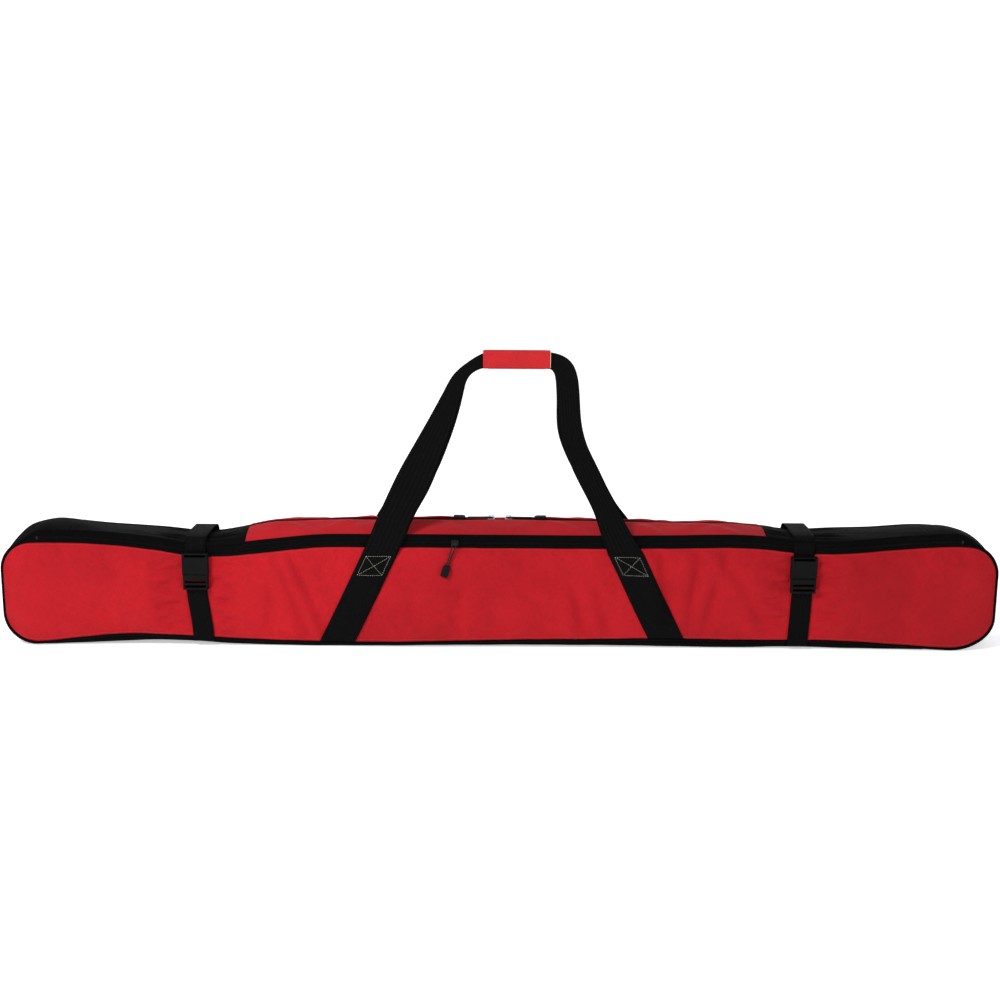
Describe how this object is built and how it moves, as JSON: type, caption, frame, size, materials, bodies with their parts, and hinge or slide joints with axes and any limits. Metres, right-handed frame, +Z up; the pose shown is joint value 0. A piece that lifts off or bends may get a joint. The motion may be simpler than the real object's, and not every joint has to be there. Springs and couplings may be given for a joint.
{
  "type": "ski bag",
  "caption": "Long soft ski bag with two zipped compartments, two compression straps with side-release buckles, and two webbing carry handles joined by a padded wrap.",
  "frame": {"origin": "on the floor under the middle of the bag", "axes": "+Z up, +X along the bag's length to the right of someone who faces its front, front face towards -Y"},
  "size_m": [1.8508, 0.1645, 0.5465],
  "materials": {
    "red_panel": "600D polyester, woven",
    "red_top": "600D polyester, woven",
    "red_wrap": "padded polyester wrap",
    "black_fabric": "600D polyester, woven",
    "piping": "bound edge tape",
    "webbing": "ribbed polypropylene webbing",
    "zip_tape": "woven zip tape",
    "coil": "nylon zip coil",
    "slider_metal": "dark nickel",
    "stop_metal": "dark nickel",
    "cord": "braided cord",
    "moulded": "moulded rubber",
    "buckle": "moulded acetal",
    "lining": "light lining",
    "foam": "light closed-cell foam behind the lining"
  },
  "bodies": {
    "bag": {"base_foam": "foam", "base_tab": "webbing", "bottom_gusset": "black_fabric", "divider": "lining", "front_foam": "foam", "front_left_webbing": "webbing", "front_panel": "red_panel", "front_piping": "piping", "front_right_webbing": "webbing", "front_zip_coil": "coil", "front_zip_lower_tape": "zip_tape", "front_zip_stop_left": "stop_metal", "front_zip_stop_right": "stop_metal", "front_zip_upper_tape": "zip_tape", "left_buckle_socket": "buckle", "left_end_gusset": "black_fabric", "left_end_handle": "webbing", "left_strap_front_run": "webbing", "left_strap_loop": "webbing", "left_top_gusset": "black_fabric", "rear_foam": "foam", "rear_left_webbing": "webbing", "rear_panel": "black_fabric", "rear_piping": "piping", "rear_right_webbing": "webbing", "right_buckle_socket": "buckle", "right_end_gusset": "black_fabric", "right_end_handle": "webbing", "right_strap_front_run": "webbing", "right_strap_loop": "webbing", "right_top_gusset": "black_fabric", "top_gusset_front": "red_top", "top_gusset_rear": "red_top", "top_zip_coil": "coil", "top_zip_front_tape": "zip_tape", "top_zip_rear_tape": "zip_tape", "top_zip_stop_left": "stop_metal", "top_zip_stop_right": "stop_metal"},
    "front_handle": {"front_handle": "webbing", "grip_wrap": "red_wrap"},
    "rear_handle": {"rear_handle": "webbing"},
    "wrap_flap": {"wrap_flap": "red_wrap"},
    "left_buckle_plug": {"left_buckle_plug": "buckle"},
    "right_buckle_plug": {"right_buckle_plug": "buckle"},
    "front_zip_slider": {"front_zip_slider": "slider_metal"},
    "front_pull": {"front_pull_cord": "cord", "front_pull_grip": "moulded"},
    "top_left_zip_slider": {"top_left_zip_slider": "slider_metal"},
    "top_left_pull": {"top_left_pull_cord": "cord", "top_left_pull_grip": "moulded"},
    "top_right_zip_slider": {"top_right_zip_slider": "slider_metal"},
    "top_right_pull": {"top_right_pull_cord": "cord", "top_right_pull_grip": "moulded"}
  },
  "joints": [
    {"name": "front_handle_swing", "type": "hinge", "parent": "bag", "child": "front_handle", "pos_m": [0.005, -0.0773, 0.184], "axis": [1, 0, 0], "range_deg": [0, 122], "deforming": ["wrap_flap"]},
    {"name": "rear_handle_swing", "type": "hinge", "parent": "bag", "child": "rear_handle", "pos_m": [0.005, 0.0773, 0.184], "axis": [-1, 0, 0], "range_deg": [0, 122], "deforming": ["wrap_flap"]},
    {"name": "wrap_flap_open", "type": "hinge", "parent": "front_handle", "child": "wrap_flap", "pos_m": [0.029, 0.0063, 0.5455], "axis": [1, 0, 0], "range_deg": [0, 150]},
    {"name": "left_buckle_release", "type": "slide", "parent": "bag", "child": "left_buckle_plug", "axis": [0, 0, -1], "range_m": [0, 0.03]},
    {"name": "right_buckle_release", "type": "slide", "parent": "bag", "child": "right_buckle_plug", "axis": [0, 0, -1], "range_m": [0, 0.03]},
    {"name": "front_zip_run", "type": "slide", "parent": "bag", "child": "front_zip_slider", "axis": [1, 0, 0], "range_m": [-0.088, 0.26]},
    {"name": "front_pull_lift", "type": "hinge", "parent": "front_zip_slider", "child": "front_pull", "pos_m": [-0.082, -0.08275, 0.2019], "axis": [-1, 0, 0], "range_deg": [0, 150]},
    {"name": "top_left_zip_run", "type": "slide", "parent": "bag", "child": "top_left_zip_slider", "axis": [-1, 0, 0], "range_m": [0, 0.42]},
    {"name": "top_left_pull_lift", "type": "hinge", "parent": "top_left_zip_slider", "child": "top_left_pull", "pos_m": [-0.016, 0, 0.23165], "axis": [0, 1, 0], "range_deg": [0, 110]},
    {"name": "top_right_zip_run", "type": "slide", "parent": "bag", "child": "top_right_zip_slider", "axis": [1, 0, 0], "range_m": [0, 0.44]},
    {"name": "top_right_pull_lift", "type": "hinge", "parent": "top_right_zip_slider", "child": "top_right_pull", "pos_m": [0.016, 0, 0.23165], "axis": [0, -1, 0], "range_deg": [0, 110]}
  ]
}
